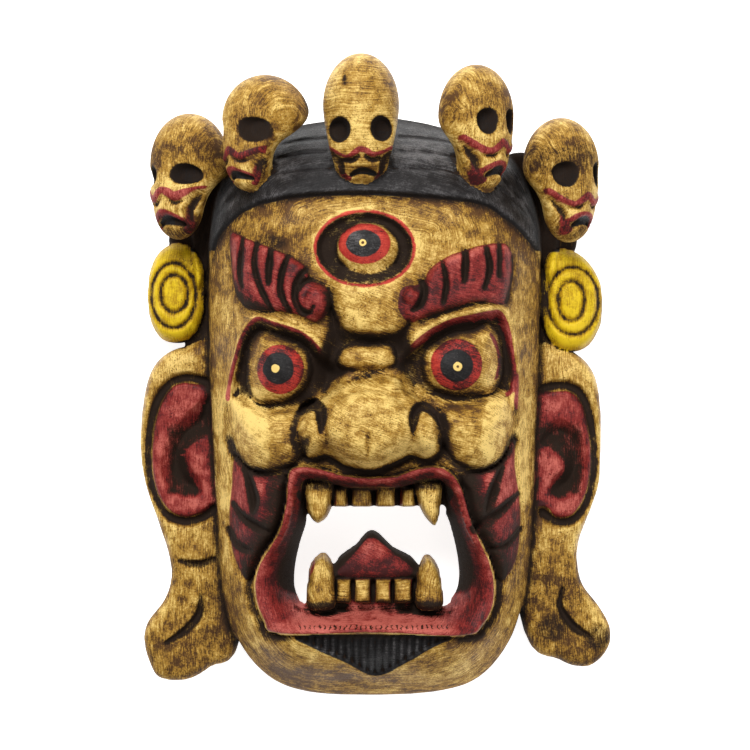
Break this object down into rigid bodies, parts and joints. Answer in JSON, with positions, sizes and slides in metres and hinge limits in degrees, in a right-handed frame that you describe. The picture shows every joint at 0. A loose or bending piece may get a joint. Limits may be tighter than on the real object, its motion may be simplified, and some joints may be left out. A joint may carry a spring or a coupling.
{
  "type": "carved wooden mask",
  "caption": "Carved and painted wooden mask of a fierce guardian with bulging eyes, an open fanged mouth, long ears and a crown of skulls; hollow behind, lying on its back.",
  "frame": {"origin": "middle of the mask's outline, on the flat back that it lies on", "axes": "+Z out of the face, +Y towards the crown, +X to the right of someone looking at the face"},
  "size_m": [0.263, 0.3511, 0.1079],
  "materials": {
    "painted_wood": "painted and waxed, ochre with black, red and yellow"
  },
  "bodies": {
    "root": {"mask": "painted_wood"}
  },
  "joints": []
}
